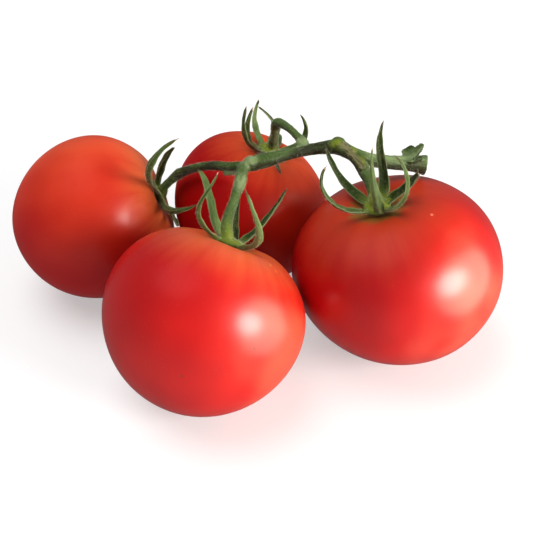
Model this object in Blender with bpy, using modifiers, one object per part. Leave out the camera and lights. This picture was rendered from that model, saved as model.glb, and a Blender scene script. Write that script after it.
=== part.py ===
"""A truss of four tomatoes at rest on a flat surface, its stem and sepals on top. Metres, +Z up."""

import math

import bmesh
import bpy
import numpy as np

MM = 0.001

# Driving dimensions. Lengths are in millimetres and angles in degrees.
DIMPLE_DEPTH = 5.5
DIMPLE_WIDTH = 10.0
STEM_END_CROWDING = 1.25
SEPAL_THICK = 0.8
SEPAL_TIP_WIDTH = 0.8
SEPAL_ROOT_SHARE = 0.55
SEPAL_SHOULDER = 0.22
SEPAL_CUP = 0.4
SEPAL_START = 1.8
SEPAL_HEIGHT = 1.4
SEPAL_STEPS = 12
SPINE_SAMPLING = 8
PATH_STEPS = 4
# Roundness: faces around and along each shape, and the distance within which cap points are joined.
FRUIT_SEGMENTS = 36
FRUIT_RINGS = 22
SWELLING_SEGMENTS = 16
SWELLING_RINGS = 8
BUMP_SUBDIVISIONS = 2
STEM_ROUNDNESS = 2
CAP_WELD = 0.01

# Each fruit: middle, greatest radius, height over width, how far the stem end tips over and toward
# which side, how much the shoulders are wider than the foot, how square the profile is, and the lean.
FRUITS = {
    "front": dict(middle=(-14.6, -33.8, 31.49), radius=34.10, squat=0.918, tilt=38.8, azimuth=56.0,
                  taper=0.084, square=0.944, lean=(-0.002, -0.001)),
    "left": dict(middle=(-59.3, 25.0, 30.38), radius=31.45, squat=0.966, tilt=70.8, azimuth=9.8,
                 taper=0.068, square=0.944, lean=(0.006, 0.007)),
    "back": dict(middle=(0.3, 35.0, 28.68), radius=30.80, squat=0.916, tilt=23.5, azimuth=21.5,
                 taper=0.048, square=0.943, lean=(-0.037, 0.044)),
    "right": dict(middle=(53.6, -7.9, 31.44), radius=36.70, squat=0.876, tilt=14.7, azimuth=165.6,
                  taper=0.103, square=0.934, lean=(0.064, 0.011)),
}

# Each sepal: heading round the fruit's own axis, length, lift at the root and at the tip, how late the
# lift changes, sag of the middle, turn and late turn of the heading, greatest width, how it tapers, and
# how far it has rolled round its own length at the tip.
SEPALS = {
    "front": [
        (142, 36.4, 15, 89, 1.9, 0, 79, 49, 2.3, 0.9, 0),
        (71, 36.8, 10, 6, 1.4, -35, -5, -5, 4.4, 0.7, -25),
        (20, 24.7, 15, 92, 1.7, 0, 52, -5, 3.4, 0.7, 0),
        (252, 41.5, 13, 52, 1.35, 0, -86, -32, 3.1, 0.7, 25),
        (339, 28.3, 22, 81, 0.5, 0, 8, -13, 3.4, 0.7, 0),
    ],
    "left": [
        (222, 53.9, 17, 89, 1.5, 29, 22, -55, 5.0, 0.7, 40),
        (175, 25.5, 26, 37, 1.4, -9, 38, 20, 4.0, 0.7, 70),
        (261, 32.7, 17, 92, 1.5, 20, -9, -12, 4.8, 0.9, -50),
        (289, 26.5, 24, 10, 1.4, 6, -39, -14, 3.0, 0.7, 50),
    ],
    "back": [
        (209, 38.6, 15, 84, 1.8, 0, 15, -18, 3.4, 0.7, 0),
        (186, 28.4, 13, 95, 1.3, 0, 41, 1, 3.2, 0.7, 0),
        (116, 21.5, 13, 98, 1.4, 0, -16, -11, 3.8, 0.7, 0),
        (74, 22.3, 22, 173, 0.5, 0, -96, -35, 3.2, 0.7, 0),
        (356, 24.7, 11, 167, 1.3, 0, -35, -14, 4.6, 0.7, 60),
        (248, 30.4, 16, 8, 1.4, 0, 4, 0, 2.2, 0.7, 0),
        (40, 17.7, 20, -19, 1.5, 0, 56, -29, 3.4, 0.7, 0),
    ],
    "right": [
        (58, 34.2, 25, 138, 1.9, 0, -52, -14, 2.8, 0.7, -30),
        (332, 28.0, 15, 88, 1.2, 0, -12, -3, 4.1, 0.7, 0),
        (111, 29.1, 19, 146, 0.9, -11, -18, -10, 4.6, 1.2, 0),
        (248, 34.0, 13, 118, 0.8, -19, 62, 36, 4.2, 0.7, -25),
        (137, 33.9, 18, 129, 1.4, 0, 37, 7, 3.2, 0.7, 0),
        (194, 23.5, 33, 52, 1.2, 0, -47, -34, 4.2, 0.35, 80),
    ],
}

# The short stalk from each joint down to its fruit: points (x, y, z, radius).
STALKS = {
    "front": [(-2.3, -0.2, 63.4, 2.1), (-3.2, -2.7, 61.9, 1.8), (-4.4, -6.4, 60.0, 1.7),
              (-5.7, -10.4, 58.3, 1.8), (-6.3, -14.2, 57.0, 2.0)],
    "left": [(-26.2, 24.7, 50.8, 1.9), (-29.2, 25.8, 47.3, 1.6), (-31.8, 27.2, 43.6, 1.7)],
    "back": [(10.1, 32.9, 65.9, 1.9), (9.9, 34.4, 62.4, 1.7), (9.2, 36.6, 57.4, 1.8)],
    "right": [(40.5, 6.2, 64.6, 2.2), (42.0, 3.6, 62.6, 1.9), (43.4, -0.8, 60.2, 2.0)],
}
# The foot of each stalk: (height over the dimple, shift off the fruit's axis along X, radius).
STALK_FEET = {
    "front": [(4.7, -2.1, 2.2), (3.3, -1.6, 2.6), (2.4, -1.3, 2.6)],
    "left": [(3.0, 0.0, 2.4), (1.6, 0.0, 2.9)],
    "back": [(4.6, 0.0, 2.4), (2.6, 0.0, 3.1), (1.6, 0.0, 3.1)],
    "right": [(4.6, 0.0, 2.4), (2.6, 0.0, 3.1), (1.6, 0.0, 3.1)],
}
# The swelling the sepals grow from.
RECEPTACLE_HEIGHT = 2.3
RECEPTACLE_RADIUS = 4.2
RECEPTACLE_HALF_THICK = 1.9

# The main stem and the upper side stalks: points (x, y, z, radius).
STEM_RUNS = {
    "rachis": [(0.3, 7.2, 66.8, 2.2), (6.0, 8.5, 67.6, 2.7), (11.9, 10.3, 68.3, 2.2),
               (17.4, 11.7, 69.0, 2.0), (24.4, 13.1, 69.6, 2.2), (31.3, 13.5, 69.9, 2.7),
               (36.4, 11.1, 68.8, 2.5), (42.6, 9.8, 67.2, 2.4), (48.6, 10.1, 66.0, 2.5),
               (54.2, 10.7, 65.2, 2.7), (58.4, 10.7, 64.9, 3.0), (62.2, 10.6, 64.4, 3.7)],
    "to_left": [(3.5, 7.2, 66.6, 2.0), (-5.5, 10.9, 63.4, 1.8), (-11.4, 15.5, 60.9, 1.7),
                (-17.0, 19.1, 58.0, 1.6), (-21.8, 22.4, 54.5, 1.7), (-25.7, 24.4, 51.4, 2.1)],
    "to_front": [(3.0, 9.0, 67.2, 2.0), (-1.1, 5.4, 66.2, 2.1), (-1.9, 1.2, 64.3, 2.3)],
    "to_back": [(20.4, 12.2, 68.6, 1.8), (19.6, 16.0, 70.0, 1.9), (17.6, 19.6, 70.6, 1.5),
                (14.9, 25.0, 70.4, 1.5), (11.2, 30.6, 69.5, 1.8), (10.2, 32.4, 66.9, 2.0)],
    "to_right": [(30.0, 13.2, 69.8, 2.0), (34.0, 12.7, 69.6, 2.1), (36.3, 10.1, 68.6, 1.9),
                 (38.3, 8.5, 67.2, 2.0), (40.2, 6.7, 65.2, 2.4)],
    "bud_stub": [(-1.0, 8.6, 64.4, 1.8), (-4.6, 10.2, 62.3, 1.6), (-7.9, 11.2, 61.2, 1.4)],
}
# Bumps at the forks: (x, y, z, radius).
BUMPS = [(19.3, 15.2, 69.9, 2.5), (31.6, 13.9, 70.6, 2.9), (1.5, 7.6, 67.0, 2.7)]
# The torn skin left at the cut end, in the same terms as a sepal, and where it grows.
HEEL_POINT = (54.0, 11.0, 64.9)
HEEL_SKINS = [
    (2, 8.4, 30, 75, 1.0, 0, 0, 0, 5.5, 0.35, 0),
    (40, 5.2, 32, 70, 1.0, 0, 0, 0, 5.5, 0.35, 0),
    (-22, 6.2, 8, 40, 1.0, 0, 0, 0, 4.5, 0.4, 0),
]


def clear_scene():
    for old in list(bpy.data.objects):
        bpy.data.objects.remove(old, do_unlink=True)


def material(name, colour, roughness):
    made = bpy.data.materials.new(name)
    made.use_nodes = True
    shader = made.node_tree.nodes["Principled BSDF"]
    shader.inputs["Base Color"].default_value = (*colour, 1.0)
    shader.inputs["Roughness"].default_value = roughness
    shader.inputs["Metallic"].default_value = 0.0
    return made


def axes_of(tilt, azimuth):
    """The rotation that tips +Z over by the tilt, toward the azimuth."""
    t = math.radians(tilt)
    a = math.radians(azimuth)
    tip = np.array([[math.cos(t), 0, math.sin(t)], [0, 1, 0], [-math.sin(t), 0, math.cos(t)]])
    turn = np.array([[math.cos(a), -math.sin(a), 0], [math.sin(a), math.cos(a), 0], [0, 0, 1]])
    return turn @ tip


def points_of(mesh):
    flat = np.empty(len(mesh.vertices) * 3)
    mesh.vertices.foreach_get("co", flat)
    return flat.reshape(-1, 3)


def set_points(mesh, points):
    mesh.vertices.foreach_set("co", np.ascontiguousarray(points).ravel())
    mesh.update()


def evaluated_mesh(obj):
    bpy.context.view_layer.update()
    graph = bpy.context.evaluated_depsgraph_get()
    return bpy.data.meshes.new_from_object(obj.evaluated_get(graph))


def link(name, mesh, collection):
    obj = bpy.data.objects.new(name, mesh)
    collection.objects.link(obj)
    return obj


def move_to(obj, collection):
    for owner in list(obj.users_collection):
        owner.objects.unlink(obj)
    collection.objects.link(obj)


def applied(obj):
    """The object with its modifiers made real."""
    mesh = evaluated_mesh(obj)
    obj.modifiers.clear()
    old = obj.data
    obj.data = mesh
    bpy.data.meshes.remove(old)
    return obj


def fruit_points(fruit, polar, around):
    """Points of the skin at these angles from the stem end and round the axis."""
    radius = fruit["radius"]
    flank = np.sin(polar) ** fruit["square"] * (1 + fruit["taper"] * np.cos(polar))
    out = radius * flank
    stem_half = np.cos(polar) > 0
    height = radius * fruit["squat"] * np.cos(polar)
    height = height - DIMPLE_DEPTH * np.exp(-((out / DIMPLE_WIDTH) ** 2)) * stem_half
    shift = radius * np.cos(polar)
    x = out * np.cos(around) + fruit["lean"][0] * shift
    y = out * np.sin(around) + fruit["lean"][1] * shift
    local = np.stack([x, y, height], axis=-1)
    return local @ axes_of(fruit["tilt"], fruit["azimuth"]).T + np.array(fruit["middle"])


def dimple_bottom(fruit):
    return fruit_points(fruit, np.zeros(1), np.zeros(1))[0]


def build_tomato(name, fruit, skin, collection):
    bpy.ops.mesh.primitive_uv_sphere_add(segments=FRUIT_SEGMENTS, ring_count=FRUIT_RINGS, radius=1.0)
    tomato = bpy.context.object
    tomato.name = name
    move_to(tomato, collection)
    ball = points_of(tomato.data)
    polar = np.arccos(np.clip(ball[:, 2], -1, 1))
    polar = math.pi * (polar / math.pi) ** STEM_END_CROWDING
    around = np.arctan2(ball[:, 1], ball[:, 0])
    points = fruit_points(fruit, polar, around)
    set_points(tomato.data, points * MM)
    cut = bmesh.new()
    cut.from_mesh(tomato.data)
    everything = cut.verts[:] + cut.edges[:] + cut.faces[:]
    bmesh.ops.bisect_plane(cut, geom=everything, plane_co=(0, 0, 0), plane_no=(0, 0, 1), clear_inner=True)
    rim = [edge for edge in cut.edges if edge.is_boundary]
    bmesh.ops.holes_fill(cut, edges=rim)
    bmesh.ops.recalc_face_normals(cut, faces=cut.faces)
    cut.to_mesh(tomato.data)
    cut.free()
    tomato.data.materials.append(skin)
    return tomato


def smooth_path(rows, steps):
    """A smooth run through the rows (Catmull-Rom), a few steps to each span."""
    rows = np.array(rows, float)
    ends = np.vstack([2 * rows[0] - rows[1], rows, 2 * rows[-1] - rows[-2]])
    before, start, end, after = ends[:-3], ends[1:-2], ends[2:-1], ends[3:]
    u = np.linspace(0, 1, steps, endpoint=False)[:, None, None]
    run = start + 0.5 * u * (end - before)
    run = run + u**2 * (before - 2.5 * start + 2 * end - 0.5 * after)
    run = run + u**3 * (-0.5 * before + 1.5 * start - 1.5 * end + 0.5 * after)
    return np.vstack([run.transpose(1, 0, 2).reshape(-1, rows.shape[1]), rows[-1:]])


def build_run(name, rows, collection):
    """A round stem through points of (x, y, z, radius), as a closed mesh."""
    path = smooth_path(rows, PATH_STEPS)
    curve = bpy.data.curves.new(name, "CURVE")
    curve.dimensions = "3D"
    curve.bevel_depth = MM
    curve.bevel_resolution = STEM_ROUNDNESS
    curve.use_fill_caps = True
    spline = curve.splines.new("POLY")
    spline.points.add(len(path) - 1)
    places = np.column_stack([path[:, :3] * MM, np.ones(len(path))])
    spline.points.foreach_set("co", places.ravel())
    spline.points.foreach_set("radius", path[:, 3])
    guide = link(name, curve, collection)
    mesh = evaluated_mesh(guide)
    mesh.transform(guide.matrix_world)
    bpy.data.objects.remove(guide)
    weld = bmesh.new()
    weld.from_mesh(mesh)
    bmesh.ops.remove_doubles(weld, verts=weld.verts, dist=CAP_WELD * MM)
    bmesh.ops.recalc_face_normals(weld, faces=weld.faces)
    weld.to_mesh(mesh)
    weld.free()
    return link(name, mesh, collection)


def sepal_surface(sepal, along, across):
    """Points of a sepal's middle surface: along runs 0 to 1 from the root, across -1 to 1."""
    heading, length, lift, tip_lift, late, sag, turn, late_turn, width, taper, roll = sepal
    fine = np.linspace(0, 1, SPINE_SAMPLING * SEPAL_STEPS + 1)
    middle = (fine[1:] + fine[:-1]) / 2
    step = length * (fine[1] - fine[0])
    rise = np.radians(lift + (tip_lift - lift) * middle**late - 4 * sag * middle * (1 - middle))
    way = np.radians(heading + turn * middle + late_turn * middle**2)
    steps = np.stack([np.cos(rise) * np.cos(way), np.cos(rise) * np.sin(way), np.sin(rise)], axis=-1) * step
    first = math.radians(heading)
    root = np.array([[SEPAL_START * math.cos(first), SEPAL_START * math.sin(first), SEPAL_HEIGHT]])
    line = np.vstack([root, root + np.cumsum(steps, axis=0)])
    spine = np.stack([np.interp(along, fine, line[:, axis]) for axis in range(3)], axis=-1)
    rise = np.radians(lift + (tip_lift - lift) * along**late - 4 * sag * along * (1 - along))
    way = np.radians(heading + turn * along + late_turn * along**2)
    side = np.stack([-np.sin(way), np.cos(way), np.zeros_like(way)], axis=-1)
    inner = np.stack([-np.sin(rise) * np.cos(way), -np.sin(rise) * np.sin(way), np.cos(rise)], axis=-1)
    roll = np.radians(roll * along)[..., None]
    side, inner = side * np.cos(roll) + inner * np.sin(roll), inner * np.cos(roll) - side * np.sin(roll)
    widen = np.clip(along / SEPAL_SHOULDER, 0, 1)
    swell = SEPAL_ROOT_SHARE + (1 - SEPAL_ROOT_SHARE) * widen**2 * (3 - 2 * widen)
    half = (width * swell * (1 - along) ** taper + SEPAL_TIP_WIDTH) / 2
    half = half[..., None]
    return spine + side * half * across[..., None] + inner * half * SEPAL_CUP * across[..., None] ** 2


def build_sepal(name, sepal, axes, origin, collection):
    mesh = bpy.data.meshes.new(name)
    grid = bmesh.new()
    bmesh.ops.create_grid(grid, x_segments=SEPAL_STEPS, y_segments=2, size=1.0)
    bmesh.ops.triangulate(grid, faces=grid.faces)
    grid.to_mesh(mesh)
    grid.free()
    flat = points_of(mesh)
    surface = sepal_surface(sepal, (flat[:, 0] + 1) / 2, flat[:, 1])
    set_points(mesh, (surface @ axes.T + origin) * MM)
    blade = link(name, mesh, collection)
    thicken = blade.modifiers.new("thickness", "SOLIDIFY")
    thicken.thickness = SEPAL_THICK * MM
    thicken.offset = 0.0
    return applied(blade)


def fused(name, pieces, green, collection):
    """One solid from overlapping pieces that grew as one."""
    first, rest = pieces[0], pieces[1:]
    extras = bpy.data.collections.new(name + "_pieces")
    bpy.context.scene.collection.children.link(extras)
    for piece in rest:
        move_to(piece, extras)
    union = first.modifiers.new("grown together", "BOOLEAN")
    union.operation = "UNION"
    union.operand_type = "COLLECTION"
    union.solver = "EXACT"
    union.collection = extras
    applied(first)
    for piece in rest:
        bpy.data.objects.remove(piece)
    bpy.data.collections.remove(extras)
    first.name = name
    first.data.materials.clear()
    first.data.materials.append(green)
    return first


def build_receptacle(axes, origin, collection):
    bpy.ops.mesh.primitive_uv_sphere_add(segments=SWELLING_SEGMENTS, ring_count=SWELLING_RINGS, radius=1.0)
    swelling = bpy.context.object
    move_to(swelling, collection)
    size = np.array([RECEPTACLE_RADIUS, RECEPTACLE_RADIUS, RECEPTACLE_HALF_THICK])
    local = points_of(swelling.data) * size + np.array([0, 0, RECEPTACLE_HEIGHT])
    set_points(swelling.data, (local @ axes.T + origin) * MM)
    return swelling


def build_calyx(key, green, collection):
    fruit = FRUITS[key]
    axes = axes_of(fruit["tilt"], fruit["azimuth"])
    origin = dimple_bottom(fruit)
    foot = []
    for height, shift, radius in STALK_FEET[key]:
        x, y, z = origin + axes[:, 2] * height
        foot.append((x + shift, y, z, radius))
    pieces = [build_run("stalk", STALKS[key] + foot, collection)]
    pieces.append(build_receptacle(axes, origin, collection))
    for sepal in SEPALS[key]:
        pieces.append(build_sepal("sepal", sepal, axes, origin, collection))
    return fused("calyx_" + key, pieces, green, collection)


def build_stem(green, collection):
    pieces = [build_run(name, rows, collection) for name, rows in STEM_RUNS.items()]
    for x, y, z, radius in BUMPS:
        bpy.ops.mesh.primitive_ico_sphere_add(
            subdivisions=BUMP_SUBDIVISIONS, radius=radius * MM, location=(x * MM, y * MM, z * MM)
        )
        bump = bpy.context.object
        move_to(bump, collection)
        pieces.append(bump)
    for skin in HEEL_SKINS:
        pieces.append(build_sepal("heel", skin, np.eye(3), np.array(HEEL_POINT), collection))
    return fused("truss_stem", pieces, green, collection)


def main():
    clear_scene()
    collection = bpy.data.collections.new("tomato_truss")
    bpy.context.scene.collection.children.link(collection)
    skin = material("tomato_skin", (0.62, 0.03, 0.015), 0.28)
    sepal_green = material("sepal_green", (0.09, 0.17, 0.03), 0.6)
    stem_green = material("stem_green", (0.13, 0.22, 0.05), 0.55)
    for key, fruit in FRUITS.items():
        build_tomato("tomato_" + key, fruit, skin, collection)
    for key in FRUITS:
        build_calyx(key, sepal_green, collection)
    build_stem(stem_green, collection)


main()
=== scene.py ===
import math

import bpy
import numpy as np
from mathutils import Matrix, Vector


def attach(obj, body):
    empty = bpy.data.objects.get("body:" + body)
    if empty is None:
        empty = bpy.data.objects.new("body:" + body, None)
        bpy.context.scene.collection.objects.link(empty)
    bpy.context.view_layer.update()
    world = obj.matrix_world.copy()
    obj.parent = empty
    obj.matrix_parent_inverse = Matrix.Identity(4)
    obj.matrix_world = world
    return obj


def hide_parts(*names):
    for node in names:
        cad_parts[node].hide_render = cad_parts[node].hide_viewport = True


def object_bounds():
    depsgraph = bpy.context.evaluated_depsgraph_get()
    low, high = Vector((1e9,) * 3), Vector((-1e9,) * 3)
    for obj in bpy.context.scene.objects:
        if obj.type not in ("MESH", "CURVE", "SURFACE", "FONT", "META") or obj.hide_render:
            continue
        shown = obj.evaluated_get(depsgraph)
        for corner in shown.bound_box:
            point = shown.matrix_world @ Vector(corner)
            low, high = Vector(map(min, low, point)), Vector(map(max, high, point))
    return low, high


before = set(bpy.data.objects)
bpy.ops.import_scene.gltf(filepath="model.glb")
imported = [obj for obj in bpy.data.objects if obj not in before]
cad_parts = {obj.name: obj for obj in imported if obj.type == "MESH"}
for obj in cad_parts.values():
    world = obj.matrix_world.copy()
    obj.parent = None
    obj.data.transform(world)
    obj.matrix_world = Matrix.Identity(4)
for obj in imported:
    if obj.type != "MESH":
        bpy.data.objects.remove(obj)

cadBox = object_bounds()
mm = 0.001
dice = np.random.default_rng(11)
anyPhase = (0, 6.28)    # the range of a phase drawn at random, in radians
print("frame in place:", len(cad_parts), "CAD nodes")


# camera and light: places and sizes in metres, the lens in mm, the camera's tip in degrees

studio = dict(
    lens=60.0, sensor=36.0, cameraAt=(0.0081, -0.2524, 0.2375), cameraTip=50.0, nearest=0.01,
    keyAt=(0.70, -0.45, 0.33), keySize=0.42, keyPower=8.4, keyColour=(1.0, 0.97, 0.93),
    topAt=(-0.32, 0.05, 0.95), topSize=0.9, topPower=7.0, topColour=(0.98, 0.99, 1.0),
    sheenAt=(0.84, -0.30, 0.16), sheenSize=1.1, sheenPower=17.0, sheenColour=(1.0, 0.92, 0.74),
    aim=(0.0, 0.0, 0.03), glow=0.36, glowColour=(1.0, 1.0, 1.0), seenGlow=1.0, mirrorGlow=0.16,
)


def addLight(key, lights=True, mirrored=True):
    # a round lamp turned to the truss, from the studio's place, size, power and colour of that key
    lamp = bpy.data.lights.new(key + "Light", "AREA")
    lamp.shape = "DISK"
    lamp.size = studio[key + "Size"]
    lamp.energy = studio[key + "Power"]
    lamp.color = studio[key + "Colour"]
    holder = bpy.data.objects.new(key + "Light", lamp)
    holder.location = studio[key + "At"]
    toTruss = Vector(studio["aim"]) - Vector(studio[key + "At"])
    holder.rotation_euler = toTruss.to_track_quat("-Z", "Y").to_euler()
    holder.visible_diffuse = lights     # whether it lights what it falls on
    holder.visible_glossy = mirrored    # whether its shape shows as a highlight
    bpy.context.scene.collection.objects.link(holder)


def setStudio():
    eye = bpy.data.cameras.new("photoCamera")
    eye.lens = studio["lens"]
    eye.sensor_width = studio["sensor"]
    eye.clip_start = studio["nearest"]
    camera = bpy.data.objects.new("photoCamera", eye)
    camera.location = studio["cameraAt"]
    camera.rotation_euler = (math.radians(studio["cameraTip"]), 0, 0)
    bpy.context.scene.collection.objects.link(camera)
    bpy.context.scene.camera = camera
    addLight("key")
    addLight("top", mirrored=False)
    addLight("sheen", lights=False)
    # the room glows softly, less so in the fruits' shine, and what is seen of it behind the floor is white
    world = bpy.data.worlds.new("paleRoom")
    world.use_nodes = True
    tree = world.node_tree
    backdrop = tree.nodes["Background"]
    backdrop.inputs["Color"].default_value = (*studio["glowColour"], 1.0)
    path = put(tree, "LightPath").outputs
    strength = between(tree, path["Is Glossy Ray"], 0.0, 1.0, studio["glow"], studio["mirrorGlow"])
    strength = between(tree, path["Is Camera Ray"], 0.0, 1.0, strength, studio["seenGlow"])
    tree.links.new(strength, backdrop.inputs["Strength"])
    bpy.context.scene.world = world
    bpy.context.scene.view_settings.view_transform = "Standard"
    print("camera and lights set")


# small helpers for finishes

def paint(red, green, blue):
    # a screen colour, 0 to 255, as the linear colour that a shader takes
    share = np.array([red, green, blue]) / 255
    linear = np.where(share <= 0.04045, share / 12.92, ((share + 0.055) / 1.055) ** 2.4)
    return (*linear.tolist(), 1.0)


def put(tree, kind, sockets=None, **settings):
    # one shader node; a socket takes a value or another node's output
    made = tree.nodes.new("ShaderNode" + kind)
    for key, value in settings.items():
        setattr(made, key, value)
    for key, value in (sockets or {}).items():
        if isinstance(value, bpy.types.NodeSocket):
            tree.links.new(value, made.inputs[key])
        else:
            made.inputs[key].default_value = value
    return made


def reading(tree, name):
    # a number stored on the piece's points
    return put(tree, "Attribute", attribute_name=name).outputs["Fac"]


def direction(tree, name):
    # three numbers stored on the piece's points
    return put(tree, "Attribute", attribute_name=name).outputs["Vector"]


def sums(tree, operation, first, second=0.5):
    # one sum; an operation on one value leaves the second unread
    return put(tree, "Math", {0: first, 1: second}, operation=operation).outputs[0]


def between(tree, value, low, high, toLow=0.0, toHigh=1.0):
    # value carried smoothly from low..high to toLow..toHigh, and held outside it
    sockets = {"Value": value, "From Min": low, "From Max": high, "To Min": toLow, "To Max": toHigh}
    return put(tree, "MapRange", sockets, interpolation_type="SMOOTHSTEP").outputs[0]


def mixed(tree, share, first, second):
    # sockets 6 and 7 are the node's two colours
    return put(tree, "Mix", {0: share, 6: first, 7: second}, data_type="RGBA").outputs[2]


def cover(tree, value, reach):
    # how much a layer hides: reach is the value where it starts, the one where it is full, and the most
    start, full, most = reach
    return between(tree, value, start, full, 0.0, most)


def layer(tree, colour, value, reach, tint):
    # a tint laid over the colour as far as it covers
    return mixed(tree, cover(tree, value, reach), colour, tint)


def frayed(tree, value, noise, spread, shift):
    # value moved from minus the shift to plus the shift, as the noise goes from a half less the spread to
    # a half and the spread
    return sums(tree, "ADD", value, between(tree, noise, 0.5 - spread, 0.5 + spread, -shift, shift))


def cloud(tree, where, scale, detail=3.0, rough=0.5):
    # soft noise, mostly from a quarter to three quarters
    sockets = {"Vector": where, "Scale": scale, "Detail": detail, "Roughness": rough}
    return put(tree, "TexNoise", sockets).outputs[0]


def cells(tree, where, scale):
    return put(tree, "TexVoronoi", {"Vector": where, "Scale": scale})


def ridge(tree, height, depth, strength=1.0, onto=None):
    # relief of that depth in metres
    sockets = {"Height": height, "Distance": depth, "Strength": strength}
    if onto is not None:
        sockets["Normal"] = onto
    return put(tree, "Bump", sockets).outputs[0]


def newFinish(name, **fixed):
    # a material whose fixed numbers sit on the shader's own sockets
    finish = bpy.data.materials.new(name)
    finish.use_nodes = True
    shader = finish.node_tree.nodes["Principled BSDF"]
    for key, value in fixed.items():
        shader.inputs[key].default_value = value
    return finish, finish.node_tree, shader


def dress(tree, shader, colour, rough, bump):
    tree.links.new(colour, shader.inputs["Base Color"])
    tree.links.new(rough, shader.inputs["Roughness"])
    tree.links.new(bump, shader.inputs["Normal"])


# small helpers for shapes, all in mm until they become a mesh

def axesOf(tilt, azimuth):
    # the turn that tips +Z over by the tilt, toward the azimuth
    t, a = math.radians(tilt), math.radians(azimuth)
    tip = np.array([[math.cos(t), 0, math.sin(t)], [0, 1, 0], [-math.sin(t), 0, math.cos(t)]])
    turn = np.array([[math.cos(a), -math.sin(a), 0], [math.sin(a), math.cos(a), 0], [0, 0, 1]])
    return turn @ tip


def smoothStep(value):
    # 0 up to 0, 1 from 1 on, and 3 times the square less 2 times the cube between
    held = np.clip(value, 0, 1)
    return held * held * (3 - 2 * held)


def onBall(polar, around, rim=1.0):
    # a point of the unit ball, its distance from the axis times the rim
    x, y = np.sin(polar) * np.cos(around) * rim, np.sin(polar) * np.sin(around) * rim
    return np.stack([x, y, np.cos(polar)], -1)


def closedRings(rings, first, last, facts):
    # rings of points, each joined to the next, and both ends closed on one point
    # facts are numbers for each ring point, carried along; a shell is points, quads, triangles, facts
    count, around = rings.shape[:2]
    side = np.arange(around)
    after = (side + 1) % around
    row = np.arange(count - 1)[:, None] * around
    quads = np.stack([row + side, row + after, row + around + after, row + around + side], -1).reshape(-1, 4)
    top, base = count * around, (count - 1) * around
    fanOne = np.stack([np.full(around, top), after, side], -1)
    fanTwo = np.stack([np.full(around, top + 1), base + side, base + after], -1)
    triangles = np.vstack([fanOne, fanTwo])
    points = np.vstack([rings.reshape(-1, 3), first, last])
    # faces that point inwards, as the sum of their volumes over the origin tells, are turned round
    corners = points[np.vstack([quads[:, :3], quads[:, [0, 2, 3]], triangles])]
    inside = np.einsum("ij,ij->i", corners[:, 0], np.cross(corners[:, 1], corners[:, 2])).sum() < 0
    if inside:
        quads, triangles = quads[:, ::-1], triangles[:, ::-1]
    kept = {}
    for key, value in facts.items():
        value = np.broadcast_to(value, (count, around) + np.shape(value)[2:])
        ends = [value[0].mean(axis=0, keepdims=True), value[-1].mean(axis=0, keepdims=True)]
        kept[key] = np.concatenate([value.reshape((-1,) + value.shape[2:]), *ends])
    return points, quads, triangles, kept


def joined(shells):
    # several shells as one list of points and faces
    steps = np.cumsum([0] + [len(shell[0]) for shell in shells])[:-1]
    points = np.vstack([shell[0] for shell in shells])
    quads = np.vstack([shell[1] + step for shell, step in zip(shells, steps)])
    triangles = np.vstack([shell[2] + step for shell, step in zip(shells, steps)])
    facts = {key: np.concatenate([shell[3][key] for shell in shells]) for key in shells[0][3]}
    return points, quads, triangles, facts


def meshOf(name, shell, scale=mm):
    points, quads, triangles, facts = shell
    mesh = bpy.data.meshes.new(name)
    mesh.from_pydata((points * scale).tolist(), [], quads.tolist() + triangles.tolist())
    for key, value in facts.items():
        kind, field = ("FLOAT", "value") if value.ndim == 1 else ("FLOAT_VECTOR", "vector")
        stored = mesh.attributes.new(key, kind, "POINT")
        stored.data.foreach_set(field, np.ascontiguousarray(value, np.float32).ravel())
    mesh.shade_smooth()
    return mesh


def addPiece(name, shell, finish, replaced=()):
    piece = bpy.data.objects.new(name, meshOf(name, shell))
    bpy.context.scene.collection.objects.link(piece)
    piece.data.materials.append(finish)
    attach(piece, "root")
    if replaced:
        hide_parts(*replaced)


def smoothPath(rows, steps):
    # a smooth run through the rows (Catmull-Rom), a few steps to each span
    rows = np.array(rows, float)
    ends = np.vstack([2 * rows[0] - rows[1], rows, 2 * rows[-1] - rows[-2]])
    before, start, end, after = ends[:-3], ends[1:-2], ends[2:-1], ends[3:]
    u = np.linspace(0, 1, steps, endpoint=False)[:, None, None]
    run = start + 0.5 * u * (end - before)
    run = run + u**2 * (before - 2.5 * start + 2 * end - 0.5 * after)
    run = run + u**3 * (-0.5 * before + 1.5 * start - 1.5 * end + 0.5 * after)
    return np.vstack([run.transpose(1, 0, 2).reshape(-1, rows.shape[1]), rows[-1:]])


def framesAlong(line):
    # along the line: its direction, and two directions across it, carried on without a twist
    ahead = np.gradient(line, axis=0)
    ahead = ahead / np.linalg.norm(ahead, axis=1, keepdims=True)
    across = np.empty_like(ahead)
    held = np.cross(ahead[0], [0.3, 0.2, 0.9])
    for place, way in enumerate(ahead):
        held = held - way * (held @ way)
        held = held / np.linalg.norm(held)
        across[place] = held
    return ahead, across, np.cross(ahead, across)


# the four fruits, in mm and degrees; the angles of the ribs are in radians

tomatoes = dict(
    rings=176, sectors=248, crowding=1.25, dimpleDepth=5.5, dimpleWidth=10.0,
    inset=0.1, lumps=0.35, lumpWaves=9, lumpPitch=3.2,
    ribs=0.3, ribCount=6, ribPolar=0.55, ribReach=0.4, ribWander=0.6,
    eyeWidth=4.0, eyeDepth=0.8, eyePoint=0.5, eyePointWidth=0.9, press=0.3, pressFade=8.0, grainPitch=0.12,
)
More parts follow.
